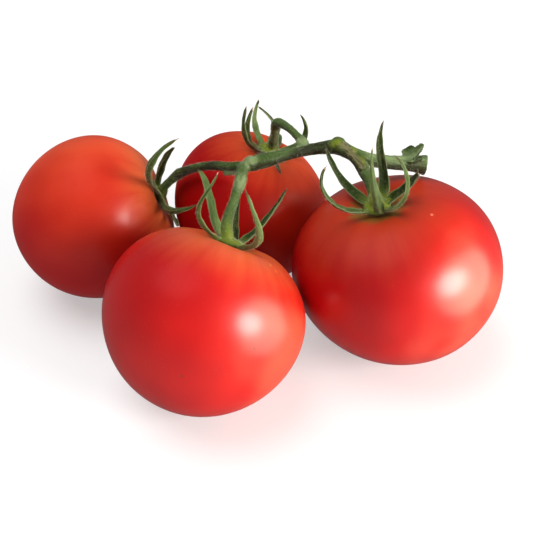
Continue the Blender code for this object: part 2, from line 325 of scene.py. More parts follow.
# squat, taper, square and lean shape the fruit; then the way toward the light, in which the skin is painted
# brighter and blushed as light falls, shine its gloss; marks are small scars: place, size and colour
fruits = dict(
    front=dict(middle=(-14.6, -33.8, 31.49), radius=34.10, squat=0.918, tilt=38.8, azimuth=56.0,
               taper=0.084, square=0.944, lean=(-0.002, -0.001),
               deep=paint(182, 4, 8), bright=paint(228, 30, 18),
               shoulder=paint(236, 114, 62), paintedLightBlush=paint(240, 98, 68),
               paintedLightSide=(0.6, -0.45, -0.3), shine=0.95, rough=0.52,
               marks=[((3.1, -59.6, 44.5), 1.0, paint(150, 36, 22)),
                      ((-18.6, -65.0, 38.8), 0.7, paint(150, 52, 26)),
                      ((8.2, -31.9, 54.4), 0.8, paint(236, 150, 70)),
                      ((9.8, -33.6, 53.3), 0.7, paint(236, 150, 70))]),
    left=dict(middle=(-59.3, 25.0, 30.38), radius=31.45, squat=0.966, tilt=70.8, azimuth=9.8,
              taper=0.068, square=0.944, lean=(0.006, 0.007),
              deep=paint(170, 4, 6), bright=paint(208, 56, 30),
              shoulder=paint(230, 116, 62), paintedLightBlush=paint(222, 82, 46),
              paintedLightSide=(0.1, 0.2, 0.8), shine=0.42, rough=0.52, marks=[]),
    back=dict(middle=(0.3, 35.0, 28.68), radius=30.80, squat=0.916, tilt=23.5, azimuth=21.5,
              taper=0.048, square=0.943, lean=(-0.037, 0.044),
              deep=paint(160, 3, 6), bright=paint(212, 48, 24),
              shoulder=paint(218, 84, 42), paintedLightBlush=paint(216, 66, 38),
              paintedLightSide=(0.8, 0.1, 0.3), shine=0.20, rough=0.50, marks=[]),
    right=dict(middle=(53.6, -7.9, 31.44), radius=36.70, squat=0.876, tilt=14.7, azimuth=165.6,
               taper=0.103, square=0.934, lean=(0.064, 0.011),
               deep=paint(160, 3, 8), bright=paint(220, 22, 14),
               shoulder=paint(192, 58, 26), paintedLightBlush=paint(240, 104, 76),
               paintedLightSide=(0.75, -0.35, 0.0), shine=0.95, rough=0.50,
               marks=[((60.8, -16.0, 62.7), 0.7, paint(240, 120, 92))]),
)


def fruitPoints(fruit, polar, around, waves):
    # out from the axis: radius times sin(polar) to a power, fuller toward the stem end
    # up the axis: squat cosine, less a bell-shaped dimple at the stem and a small eye at the other end
    # then drawn in a little, never out, by soft lumps and by ribs on the shoulder
    radius = fruit["radius"]
    out = radius * np.sin(polar) ** fruit["square"] * (1 + fruit["taper"] * np.cos(polar))
    stemHalf = np.cos(polar) > 0
    height = radius * fruit["squat"] * np.cos(polar)
    height = height - tomatoes["dimpleDepth"] * np.exp(-(out / tomatoes["dimpleWidth"]) ** 2) * stemHalf
    eye = tomatoes["eyeDepth"] * np.exp(-(out / tomatoes["eyeWidth"]) ** 2)
    eye = eye - tomatoes["eyePoint"] * np.exp(-(out / tomatoes["eyePointWidth"]) ** 2)
    height = height + eye * ~stemHalf
    shift = radius * np.cos(polar)
    x = out * np.cos(around) + fruit["lean"][0] * shift
    y = out * np.sin(around) + fruit["lean"][1] * shift
    local = np.stack([x, y, height], -1)
    swell = onBall(polar, around) @ waves[:, :3].T * tomatoes["lumpPitch"]
    swell = np.cos(swell + waves[:, 3]).mean(axis=-1)
    wander = tomatoes["ribWander"] * np.sin(around + waves[1, 3])
    ribs = 0.5 - 0.5 * np.cos(tomatoes["ribCount"] * around + waves[0, 3] + wander)
    ribs = ribs * np.exp(-((polar - tomatoes["ribPolar"]) / tomatoes["ribReach"]) ** 2)
    sink = tomatoes["inset"] + tomatoes["lumps"] * np.clip(0.5 + swell, 0, 1) + tomatoes["ribs"] * ribs
    placed = local @ axesOf(fruit["tilt"], fruit["azimuth"]).T + np.array(fruit["middle"])
    sink = sink * smoothStep(placed[..., 2] / tomatoes["pressFade"])
    placed = placed - (placed - np.array(fruit["middle"])) * (sink / radius)[..., None]
    # the foot is pressed flat where it rests
    placed[..., 2] = (placed[..., 2] + np.sqrt(placed[..., 2] ** 2 + tomatoes["press"] ** 2)) / 2
    return placed


# each layer of colour: the value where it starts, the one where it is full, and how much it then hides
# patterns are so many to the metre, depths of relief in metres
skin = dict(
    # the brighter and the blushed layers are painted light, set in toward the lit side
    patches=26.0, patchShift=0.35, bright=(-0.35, 0.95, 1.0), paintedLightBlush=(0.5, 1.0, 0.7),
    streaks=5.0, streak=(0.45, 0.8, 0.10), streakDepth=0.00005,
    shoulder=(0.33, 0.07, 0.75), shoulderFray=0.022,
    flecks=620.0, fleck=(0.15, 0.04, 0.16), fleckGroups=210.0, fleckGroup=(0.5, 0.62, 1.0),
    fleckColour=paint(240, 150, 90),
    corkFlakes=9.0, cork=(0.085, 0.05, 0.85), corkFray=0.015, corkColour=paint(132, 96, 38), corkRough=0.7,
    smears=90.0, pores=1400.0, poreDepth=0.00002,
    scarFlakes=900.0, scarFray=0.5, scarCore=0.3, scarMost=0.85, scarRough=0.75, scarDepth=0.0001,
)


def skinFinish(key, fruit):
    finish, tree, shader = newFinish("skin" + key.title(), **{
        "Subsurface Weight": 0.10, "Subsurface Radius": (1.0, 0.25, 0.12), "Subsurface Scale": 0.003,
        "Specular IOR Level": 0.06, "Coat Weight": fruit["shine"], "Coat Roughness": 0.30, "Coat IOR": 1.5,
    })
    where = put(tree, "TexCoord").outputs["Object"]
    polar, grain = reading(tree, "polar"), direction(tree, "grain")
    # painted light: deep red, brighter and then blushed toward the side the light falls on, its edge shifted
    # by patches
    middle = tuple(value * mm for value in fruit["middle"])
    fromMiddle = put(tree, "VectorMath", {0: where, 1: middle}, operation="SUBTRACT").outputs[0]
    sideways = tuple(value / (fruit["radius"] * mm) for value in fruit["paintedLightSide"])
    towardLight = put(tree, "VectorMath", {0: fromMiddle, 1: sideways}, operation="DOT_PRODUCT").outputs["Value"]
    towardLight = frayed(tree, towardLight, cloud(tree, where, skin["patches"], 2.0), 0.25, skin["patchShift"])
    colour = layer(tree, fruit["deep"], towardLight, skin["bright"], fruit["bright"])
    colour = layer(tree, colour, towardLight, skin["paintedLightBlush"], fruit["paintedLightBlush"])
    # a lighter shoulder round the stem end, and fine streaks that run down from it
    streaks = cloud(tree, grain, skin["streaks"], 4.0, 0.6)
    shoulder = frayed(tree, polar, streaks, 0.2, skin["shoulderFray"])
    colour = layer(tree, colour, shoulder, skin["shoulder"], fruit["shoulder"])
    colour = layer(tree, colour, streaks, skin["streak"], fruit["deep"])
    # pale flecks under the skin, in groups
    fleck = cover(tree, cells(tree, where, skin["flecks"]).outputs["Distance"], skin["fleck"])
    group = cover(tree, cloud(tree, where, skin["fleckGroups"], 1.0), skin["fleckGroup"])
    colour = mixed(tree, sums(tree, "MULTIPLY", fleck, group), colour, skin["fleckColour"])
    # corky ring under the calyx
    ring = frayed(tree, polar, cloud(tree, grain, skin["corkFlakes"], 3.0), 0.3, skin["corkFray"])
    cork = cover(tree, ring, skin["cork"])
    colour = mixed(tree, cork, colour, skin["corkColour"])
    smears = cloud(tree, where, skin["smears"], 2.0)
    rough = between(tree, smears, 0.2, 0.8, fruit["rough"] - 0.04, fruit["rough"] + 0.05)
    rough = sums(tree, "MAXIMUM", rough, sums(tree, "MULTIPLY", cork, skin["corkRough"]))
    bump = ridge(tree, cloud(tree, where, skin["pores"], 2.0), skin["poreDepth"], 0.35)
    bump = ridge(tree, streaks, skin["streakDepth"], 0.3, bump)
    # small scars, each a ragged spot of its own colour, a little sunk
    for place, size, tint in fruit["marks"]:
        spot, reach = tuple(value * mm for value in place), size * mm
        away = put(tree, "VectorMath", {0: where, 1: spot}, operation="DISTANCE").outputs["Value"]
        away = frayed(tree, away, cloud(tree, where, skin["scarFlakes"], 2.0), 0.3, skin["scarFray"] * reach)
        scar = cover(tree, away, (reach, skin["scarCore"] * reach, skin["scarMost"]))
        colour = mixed(tree, scar, colour, tint)
        rough = sums(tree, "MAXIMUM", rough, sums(tree, "MULTIPLY", scar, skin["scarRough"]))
        bump = ridge(tree, sums(tree, "SUBTRACT", 1.0, scar), skin["scarDepth"], 0.8, bump)
    dress(tree, shader, colour, rough, bump)
    return finish


def makeTomatoes():
    share = np.arange(1, tomatoes["rings"] + 1) / (tomatoes["rings"] + 1)
    polar = np.pi * share ** tomatoes["crowding"]
    around = np.linspace(0, 2 * np.pi, tomatoes["sectors"], endpoint=False)
    polar, around = np.meshgrid(polar, around, indexing="ij")
    for key, fruit in fruits.items():
        headings = dice.normal(size=(tomatoes["lumpWaves"], 3))
        waves = np.column_stack([headings, dice.uniform(*anyPhase, tomatoes["lumpWaves"])])
        rings = fruitPoints(fruit, polar, around, waves)
        top = fruitPoints(fruit, np.zeros(1), np.zeros(1), waves)
        foot = fruitPoints(fruit, np.full(1, np.pi), np.zeros(1), waves)
        # for the finish: polar is 0 at the stem end and 1 at the foot, grain runs down the fruit
        grain = [np.cos(around), np.sin(around), polar * tomatoes["grainPitch"]]
        facts = dict(polar=polar / np.pi, grain=np.stack(grain, -1))
        shell = closedRings(rings, top, foot, facts)
        addPiece("tomatoSkin" + key.title(), shell, skinFinish(key, fruit), ["tomato_" + key])
    print("tomatoes:", len(fruits))


# the sepals, in mm and degrees, each in the axes of its fruit

blades = dict(
    steps=84, around=30, spineSteps=241, crowding=1.25, rootSteps=20, rootPart=0.2, rootFat=0.5,
    start=1.8, height=1.4, thick=0.72, fullness=0.75, rootThick=1.5, rootReach=0.10, tipThick=0.30,
    tipReach=0.3, rootShare=0.55, shoulderAt=0.22, tipWidth=0.5, point=0.08, blunt=0.25, cup=0.4,
    twist=16.0, uneven=0.06, unevenWaves=(9, 23), ruffle=0.16, ruffleFrom=0.2,
    ruffleWaves=(0.55, 1.3), ruffleSplit=1.9,
    keel=0.26, keelWide=0.34, groove=0.2, grooveWide=0.26, grooveBelow=1.2,
    veins=0.06, veinAt=0.55, veinWide=0.12, fibrePitch=0.12,
)
# heading, length, lift at the root and at the tip, how late the lift changes, sag of the middle, turn and
# late turn of the heading, greatest width, how it tapers, roll at the tip, and how pale its inner and its
# outer face are, 0 to 1; the paleness is partly the faces' own colour and partly painted light and shade,
# set by how light falls on each sepal
sepals = dict(
    front=[(142, 36.4, 15, 89, 1.9, 0, 79, 49, 2.3, 0.9, 0, 0.5, 0.5),
           (71, 36.8, 10, 6, 1.4, -35, -5, -5, 4.4, 0.7, -25, 1.0, 0.9),
           (20, 24.7, 15, 92, 1.7, 0, 52, -5, 3.4, 0.7, 0, 0.0, 0.2),
           (252, 41.5, 13, 52, 1.35, 0, -86, -32, 3.1, 0.7, 25, 0.7, 0.9),
           (339, 28.3, 22, 81, 0.5, 0, 8, -13, 3.4, 0.7, 0, 0.15, 0.3)],
    left=[(222, 53.9, 17, 89, 1.5, 29, 22, -55, 5.0, 0.7, 40, 0.6, 0.45),
          (175, 25.5, 26, 37, 1.4, -9, 38, 20, 4.0, 0.7, 70, 0.1, 0.15),
          (261, 32.7, 17, 92, 1.5, 20, -9, -12, 4.8, 0.9, -50, 0.3, 0.35),
          (289, 26.5, 24, 10, 1.4, 6, -39, -14, 3.0, 0.7, 50, 0.2, 0.3)],
    back=[(209, 38.6, 15, 84, 1.8, 0, 15, -18, 3.4, 0.7, 0, 0.1, 0.1),
          (186, 28.4, 13, 95, 1.3, 0, 41, 1, 3.2, 0.7, 0, 0.5, 0.4),
          (116, 21.5, 13, 98, 1.4, 0, -16, -11, 3.8, 0.7, 0, 0.9, 0.8),
          (74, 22.3, 22, 173, 0.5, 0, -96, -35, 3.2, 0.7, 0, 0.1, 0.1),
          (356, 24.7, 11, 167, 1.3, 0, -35, -14, 4.6, 0.7, 60, 0.5, 0.3),
          (248, 30.4, 16, 8, 1.4, 0, 4, 0, 2.2, 0.7, 0, 0.0, 0.0),
          (40, 17.7, 20, -19, 1.5, 0, 56, -29, 3.4, 0.7, 0, 0.2, 0.2)],
    right=[(58, 34.2, 25, 138, 1.9, 0, -52, -14, 2.8, 0.7, -30, 0.3, 0.4),
           (332, 28.0, 15, 88, 1.2, 0, -12, -3, 4.1, 0.7, 0, 0.15, 0.3),
           (111, 29.1, 19, 146, 0.9, -11, -18, -10, 4.6, 1.2, 0, 0.6, 0.8),
           (248, 34.0, 13, 118, 0.8, -19, 62, 36, 4.2, 0.7, -25, 0.1, 0.3),
           (137, 33.9, 18, 129, 1.4, 0, 37, 7, 3.2, 0.7, 0, 0.5, 0.75),
           (194, 23.5, 33, 52, 1.2, 0, -47, -34, 4.2, 0.35, 80, 0.0, 0.1)],
)


def stemEnd(fruit):
    # the bottom of the dimple and the fruit's own axes
    turn = axesOf(fruit["tilt"], fruit["azimuth"])
    low = fruit["radius"] * fruit["squat"] - tomatoes["dimpleDepth"]
    top = np.array([fruit["lean"][0] * fruit["radius"], fruit["lean"][1] * fruit["radius"], low])
    return turn @ top + np.array(fruit["middle"]), turn


def bladeShell(sepal, place, turn, steps, reach=1.0, fat=0.0):
    # a spine stepped out from the root: its lift and heading change with the share along it
    # across it a closed ring: the half width times cos(a), cupped upward by its square, with half the
    # thickness up or down by sin(a), a keel below, a groove above and a fine vein each side of the middle
    heading, length, lift, tipLift, late, sag, turning, lateTurn, width, taper, roll, paleAndLitIn, paleAndLitOut = sepal

    def riseAndWay(share):
        rise = np.radians(lift + (tipLift - lift) * share**late - 4 * sag * share * (1 - share))
        return rise, np.radians(heading + turning * share + lateTurn * share**2)

    fine = np.linspace(0, 1, blades["spineSteps"])
    rise, way = riseAndWay((fine[1:] + fine[:-1]) / 2)
    ahead = np.stack([np.cos(rise) * np.cos(way), np.cos(rise) * np.sin(way), np.sin(rise)], -1)
    first = math.radians(heading)
    start = blades["start"]
    root = np.array([[start * math.cos(first), start * math.sin(first), blades["height"]]])
    line = np.vstack([root, root + np.cumsum(ahead * length * (fine[1] - fine[0]), axis=0)])
    share = (1 - (1 - np.linspace(0, 1, steps)) ** blades["crowding"]) * reach
    spine = np.stack([np.interp(share, fine, line[:, axis]) for axis in range(3)], -1)
    rise, way = riseAndWay(share)
    side = np.stack([-np.sin(way), np.cos(way), np.zeros_like(way)], -1)
    inner = np.stack([-np.sin(rise) * np.cos(way), -np.sin(rise) * np.sin(way), np.cos(rise)], -1)
    phase = dice.uniform(*anyPhase, 6)
    twist = np.radians(roll * share + blades["twist"] * math.sin(phase[5]) * share**2)
    side, inner = (side * np.cos(twist)[:, None] + inner * np.sin(twist)[:, None],
                   inner * np.cos(twist)[:, None] - side * np.sin(twist)[:, None])
    # the half width and the thickness along the blade
    swell = blades["rootShare"] + (1 - blades["rootShare"]) * smoothStep(share / blades["shoulderAt"])
    slow, quick = blades["unevenWaves"]
    uneven = np.sin(slow * share + phase[0]) + 0.6 * np.sin(quick * share + phase[1])
    pointed = smoothStep((1 - share) / blades["point"] + blades["blunt"])
    half = (width * swell * (1 - share) ** taper + blades["tipWidth"]) / 2
    half = half * (1 + blades["uneven"] * uneven) * pointed
    body = smoothStep((1 - share) / blades["tipReach"])
    atRoot = np.exp(-(share / blades["rootReach"]) ** 2)
    thick = blades["tipThick"] + (blades["thick"] - blades["tipThick"]) * body
    thick = thick * pointed + (blades["rootThick"] - blades["thick"]) * atRoot
    thick = thick + fat * smoothStep(1 - share / reach)
    # the ring across it: v is -1 at one edge and 1 at the other, up is 1 on the inner face, -1 on the outer
    angle = np.linspace(0, 2 * np.pi, blades["around"], endpoint=False)
    v, up = np.cos(angle)[None, :], np.sin(angle)[None, :]
    half, thick, along, pointed = half[:, None], thick[:, None], share[:, None], pointed[:, None]
    grooved = (up > 0) * (thick < blades["grooveBelow"])
    relief = np.sign(up) * np.abs(up) ** blades["fullness"] * thick / 2
    relief = relief - blades["groove"] * np.exp(-(v / blades["grooveWide"]) ** 2) * grooved
    relief = relief - blades["keel"] * np.exp(-(v / blades["keelWide"]) ** 2) * (up <= 0) * pointed
    vein = np.exp(-((np.abs(v) - blades["veinAt"]) / blades["veinWide"]) ** 2)
    relief = relief + blades["veins"] * vein * np.sign(up)
    slow, quick = blades["ruffleWaves"]
    wave = np.sin(length * along * slow + phase[2] + blades["ruffleSplit"] * (v > 0))
    wave = wave + 0.5 * np.sin(length * along * quick + phase[3])
    ruffle = blades["ruffle"] * wave * np.abs(v) ** 3 * smoothStep(along / blades["ruffleFrom"]) * pointed
    raised = half * blades["cup"] * v**2 + ruffle + relief
    rings = spine[:, None] + side[:, None] * (half * v)[..., None] + inner[:, None] * raised[..., None]
    rings = rings @ turn.T + place
    ends = spine[[0, -1]] @ turn.T + place
    along = np.broadcast_to(along, rings.shape[:2])
    over = np.broadcast_to(up, along.shape)
    facts = dict(
        along=along, across=np.broadcast_to(v, along.shape), over=over,
        # each face's paleness, partly its own colour and partly painted light and shade
        toneAndLight=np.where(over > 0, paleAndLitIn, paleAndLitOut),
        fibre=np.stack([half * v, over, along * length * blades["fibrePitch"]], -1),
    )
    return closedRings(rings, ends[:1], ends[1:], facts)


# what both greens have on their shaders
greenGloss = {
    "Subsurface Radius": (0.6, 1.0, 0.3), "Subsurface Scale": 0.001,
    "Sheen Weight": 0.04, "Sheen Roughness": 0.5, "Specular IOR Level": 0.22,
}
# as on the skins, with each layer's colour beside it
sepalLook = dict(
    patches=150.0, patchShift=0.15, streaks=3.2, streakDepth=0.00012, blotches=420.0,
    grain=2600.0, grainDepth=0.00004, shade=paint(36, 50, 14),
    green=((0.0, 0.5, 1.0), paint(66, 90, 32)), pale=((0.5, 1.0, 1.0), paint(108, 134, 72)),
    streak=((0.35, 0.7, 0.5), paint(42, 54, 18)), edge=((0.72, 0.97, 0.6), paint(140, 156, 104)),
    keel=(0.24, 0.05, 0.45), keelColour=paint(124, 142, 92), root=((0.26, 0.03, 0.75), paint(104, 122, 26)),
    blotch=((0.55, 0.75, 0.3), paint(132, 130, 60)), dryFray=0.04,
    dry=((0.90, 0.97, 0.85), paint(78, 66, 42)), tip=((0.975, 1.0, 0.8), paint(206, 172, 146)),
)


def sepalFinish():
    finish, tree, shader = newFinish("sepalGreen", **greenGloss, **{"Subsurface Weight": 0.06})
    where = put(tree, "TexCoord").outputs["Object"]
    along, across, over, toneAndLight = (reading(tree, name) for name in ("along", "across", "over", "toneAndLight"))
    edge = sums(tree, "ABSOLUTE", across)
    outward = between(tree, over, 0.25, -0.25)
    toneAndLight = frayed(tree, toneAndLight, cloud(tree, where, sepalLook["patches"], 2.0), 0.25, sepalLook["patchShift"])
    streaks = cloud(tree, direction(tree, "fibre"), sepalLook["streaks"], 4.0, 0.6)
    blotch = cloud(tree, where, sepalLook["blotches"], 3.0)
    # painted light and shade in part: each face's paleness takes the green from dark to pale
    colour = layer(tree, sepalLook["shade"], toneAndLight, *sepalLook["green"])
    colour = layer(tree, colour, toneAndLight, *sepalLook["pale"])
    colour = layer(tree, colour, streaks, *sepalLook["streak"])
    colour = layer(tree, colour, edge, *sepalLook["edge"])
    keel = sums(tree, "MULTIPLY", cover(tree, edge, sepalLook["keel"]), outward)
    colour = mixed(tree, keel, colour, sepalLook["keelColour"])
    colour = layer(tree, colour, along, *sepalLook["root"])
    colour = layer(tree, colour, blotch, *sepalLook["blotch"])
    # brown toward the tip, and the tip itself dried pale
    dry = frayed(tree, along, blotch, 0.2, sepalLook["dryFray"])
    colour = layer(tree, colour, dry, *sepalLook["dry"])
    colour = layer(tree, colour, dry, *sepalLook["tip"])
    rough = between(tree, streaks, 0.3, 0.7, 0.48, 0.66)
    bump = ridge(tree, streaks, sepalLook["streakDepth"], 0.7)
    bump = ridge(tree, cloud(tree, where, sepalLook["grain"], 2.0), sepalLook["grainDepth"], 0.5, bump)
    dress(tree, shader, colour, rough, bump)
    return finish


# everything green and round: the stem, its side stalks, the short stalks and swellings on the fruits,
# in mm; path points are x, y, z and radius

# painted shade: the way turned from the light, toward which the greens are painted darker, and how much of
# that the stalks get, stand in this table
stems = dict(
    around=22, samples=10, ballRings=22, ballSectors=36, voxel=0.26, calm=(0.62, -0.58), calmRounds=7,
    ridges=0.10, ridgeCount=5, rough=0.05, forkReach=2.5, paintedShadeSide=(-0.2, -0.6, -0.77), stalkPaintedShade=0.25,
    fibrePitch=0.06,
)
stalks = dict(
    front=[(-1.85, 2.0, 64.6, 1.9), (-2.3, -0.2, 63.4, 2.15), (-3.2, -2.7, 61.9, 1.8),
           (-4.4, -6.4, 60.0, 1.7), (-5.7, -10.4, 58.3, 1.8), (-6.3, -14.2, 57.0, 2.0)],
    left=[(-25.0, 24.3, 52.4, 1.8), (-26.2, 24.7, 50.8, 1.95), (-29.2, 25.8, 47.3, 1.6),
          (-31.8, 27.2, 43.6, 1.7)],
    back=[(10.4, 32.1, 67.6, 1.8), (10.1, 32.9, 65.9, 1.95), (9.9, 34.4, 62.4, 1.7), (9.2, 36.6, 57.4, 1.8)],
    right=[(39.8, 7.4, 65.9, 2.0), (40.5, 6.2, 64.6, 2.25), (42.0, 3.6, 62.6, 1.9), (43.4, -0.8, 60.2, 2.0)],
)
# the foot of each stalk: height over the dimple, shift off the fruit's axis along x, radius
stalkFeet = dict(
    front=[(4.7, -2.1, 2.2), (3.3, -1.6, 2.6), (2.4, -1.3, 2.6)],
    left=[(3.0, 0.0, 2.4), (1.6, 0.0, 2.9)],
    back=[(4.6, 0.0, 2.4), (2.6, 0.0, 3.1), (1.6, 0.0, 3.1)],
    right=[(4.6, 0.0, 2.4), (2.6, 0.0, 3.1), (1.6, 0.0, 3.1)],
)
# the swelling on each fruit, which reaches out a little toward each sepal
swelling = dict(height=2.3, radius=4.2, halfThick=1.9, lobes=0.10, yellowReach=6.5)
# the last row of a run that a stalk takes over lies just inside that stalk
stemRuns = dict(
    rachis=[(0.3, 7.2, 66.8, 2.2), (6.0, 8.5, 67.6, 2.7), (11.9, 10.3, 68.3, 2.2), (17.4, 11.7, 69.0, 2.0),
            (24.4, 13.1, 69.6, 2.2), (31.3, 13.5, 69.9, 2.7), (36.4, 11.1, 68.8, 2.5),
            (42.6, 9.8, 67.2, 2.4), (48.6, 10.1, 66.0, 2.5), (54.2, 10.7, 65.2, 2.7),
            (58.4, 10.7, 64.9, 3.0), (62.2, 10.6, 64.4, 3.7)],
    toLeft=[(3.5, 7.2, 66.6, 2.0), (-5.5, 10.9, 63.4, 1.8), (-11.4, 15.5, 60.9, 1.7),
            (-17.0, 19.1, 58.0, 1.6), (-21.8, 22.4, 54.5, 1.7), (-25.7, 24.4, 51.4, 2.0),
            (-27.3, 25.0, 49.5, 1.4)],
    toFront=[(3.0, 9.0, 67.2, 2.0), (-1.1, 5.4, 66.2, 2.1), (-1.9, 1.2, 64.3, 2.2), (-2.5, -0.9, 63.0, 1.6)],
    toBack=[(20.4, 12.2, 68.6, 1.8), (19.6, 16.0, 70.0, 1.9), (17.6, 19.6, 70.6, 1.5),
            (14.9, 25.0, 70.4, 1.5), (11.2, 30.6, 69.5, 1.8), (10.2, 32.4, 66.9, 2.0),
            (10.05, 33.4, 64.8, 1.4)],
    toRight=[(30.0, 13.2, 69.8, 2.0), (34.0, 12.7, 69.6, 2.1), (36.3, 10.1, 68.6, 1.9),
             (38.3, 8.5, 67.2, 2.0), (40.2, 6.7, 65.2, 2.3), (41.1, 5.2, 63.9, 1.7)],
    budStub=[(-1.0, 8.6, 64.4, 1.8), (-4.6, 10.2, 62.3, 1.6), (-7.9, 11.2, 61.2, 1.4)],
)
# balls at the forks: x, y, z and radius
bumps = [(19.3, 15.2, 69.9, 2.5), (31.6, 13.9, 70.6, 2.9), (1.5, 7.6, 67.0, 2.7)]
# the torn skin at the cut end, each shred given as a sepal is
heel = dict(
    place=(54.0, 11.0, 64.9), steps=40, thick=0.5,
    skins=[(2, 8.4, 30, 75, 1.0, 0, 0, 0, 5.5, 0.35, 0, 0.5, 0.5),
           (40, 5.2, 32, 70, 1.0, 0, 0, 0, 5.5, 0.35, 0, 0.5, 0.5),
           (-22, 6.2, 8, 40, 1.0, 0, 0, 0, 4.5, 0.4, 0, 0.5, 0.5)],
)
# where the stem is cut, and over how many mm the colour of its pith sets in
cutFace = dict(place=(62.2, 10.6, 64.4), fade=0.5)
# how dark the painted shade is on each run's lower side, the side turned from the light
paintedRunShades = dict(rachis=0.95, toLeft=0.9, toFront=0.3, toBack=0.6, toRight=0.85, budStub=0.0)
# where the green is dry and pale as cork, yellow, paler and darker: place and reach
corkPlaces = [((33.4, 12.0, 71.6), 1.5), ((34.6, 11.0, 71.1), 1.6), ((36.0, 9.4, 70.3), 1.6),
              ((37.3, 8.0, 69.3), 1.5), ((38.5, 6.8, 68.3), 1.4), ((39.5, 5.8, 67.3), 1.2)]
yellowPlaces = [((31.0, 12.2, 72.4), 2.4), ((36.6, 9.8, 71.0), 1.4), ((39.6, 7.4, 67.8), 2.0)]
palePlaces = [((46.0, 9.0, 68.0), 6.0), ((55.0, 9.5, 66.5), 6.0), ((61.0, 8.4, 65.6), 3.5),
              ((-1.5, 0.0, 64.0), 3.5), ((60.5, 11.0, 71.5), 3.5), ((1.5, 6.4, 69.0), 2.8),
              ((19.0, 14.0, 72.2), 3.4), ((9.6, 31.8, 65.5), 3.0), ((9.5, 33.0, 61.0), 3.5),
              ((-5.5, 9.4, 62.0), 2.6)]
darkPlaces = [((15.6, 9.9, 68.8), 1.8), ((17.7, 10.4, 69.7), 2.0), ((19.8, 10.7, 70.2), 2.3),
              ((21.8, 11.1, 70.7), 2.6), ((23.9, 11.4, 70.9), 2.8), ((26.0, 11.8, 71.2), 2.8),
              ((28.0, 11.6, 71.1), 2.4), ((30.0, 11.5, 69.4), 2.0),
              ((-12.0, 15.5, 60.0), 4.0), ((-21.0, 22.0, 54.0), 4.0)]


def tubeShell(rows):
    # a circle of the given radius carried along the smooth path
    path = smoothPath(rows, stems["samples"])
    ahead, across, other = framesAlong(path[:, :3])
    angle = np.linspace(0, 2 * np.pi, stems["around"], endpoint=False)[None, :, None]
    rings = across[:, None] * np.cos(angle) + other[:, None] * np.sin(angle)
    rings = path[:, None, :3] + rings * path[:, None, 3:]
    return closedRings(rings, path[:1, :3], path[-1:, :3], {})


def ballShell(place, sizes, turn, lobes=()):
    # an ellipsoid; lobes are headings in which its rim swells out
    polar = np.linspace(0, np.pi, stems["ballRings"])[1:-1]
    around = np.linspace(0, 2 * np.pi, stems["ballSectors"], endpoint=False)
    polar, around = np.meshgrid(polar, around, indexing="ij")
    rim = np.ones_like(around)
    for heading in lobes:
        rim = rim + swelling["lobes"] * np.exp(3 * (np.cos(around - math.radians(heading)) - 1))
    rings = onBall(polar, around, rim) * sizes @ turn.T + place
    poles = np.array([[0, 0, 1.0], [0, 0, -1.0]]) * sizes @ turn.T + place
    return closedRings(rings, poles[:1], poles[1:], {})


def sumsOver(indices, values, count):
    # for each of so many points, the sum of the rows of values whose index is that point's
    return np.stack([np.bincount(indices, values[:, axis], count) for axis in range(3)], -1)


def grownTogether(shells):
    # overlapping shells made one skin by a voxel remesh, then each point moved toward the mean of its
    # neighbours and almost as far back again, so that forks are rounded and nothing shrinks
    bare = [(*shell[:3], {}) for shell in shells]
    rough = bpy.data.objects.new("rough", meshOf("rough", joined(bare), 1.0))
    bpy.context.scene.collection.objects.link(rough)
    remesh = rough.modifiers.new("one skin", "REMESH")
    remesh.mode = "VOXEL"
    remesh.voxel_size = stems["voxel"]
    bpy.context.view_layer.update()
    made = bpy.data.meshes.new_from_object(rough.evaluated_get(bpy.context.evaluated_depsgraph_get()))
    points = np.empty(len(made.vertices) * 3)
    made.vertices.foreach_get("co", points)
    points = points.reshape(-1, 3)
    quads = np.empty(len(made.loops), np.int64)
    made.loops.foreach_get("vertex_index", quads)
    quads = quads.reshape(-1, 4)
    old = rough.data
    bpy.data.objects.remove(rough)
    bpy.data.meshes.remove(old)
    bpy.data.meshes.remove(made)
    pairs = np.vstack([quads[:, [0, 1]], quads[:, [1, 2]], quads[:, [2, 3]], quads[:, [3, 0]]])
    pairs = np.vstack([pairs, pairs[:, ::-1]])
    count = np.bincount(pairs[:, 0], minlength=len(points))[:, None]
    for share in stems["calm"] * stems["calmRounds"]:
        mean = sumsOver(pairs[:, 0], points[pairs[:, 1]], len(points)) / count
        points = points + share * (mean - points)
    return points, quads


def normalsOf(points, quads):
    # at each point the mean direction of its faces, the larger counting more
    crossed = np.cross(points[quads[:, 2]] - points[quads[:, 0]], points[quads[:, 3]] - points[quads[:, 1]])
    normals = sumsOver(quads.ravel(), np.repeat(crossed, 4, axis=0), len(points))
    return normals / np.linalg.norm(normals, axis=1, keepdims=True)


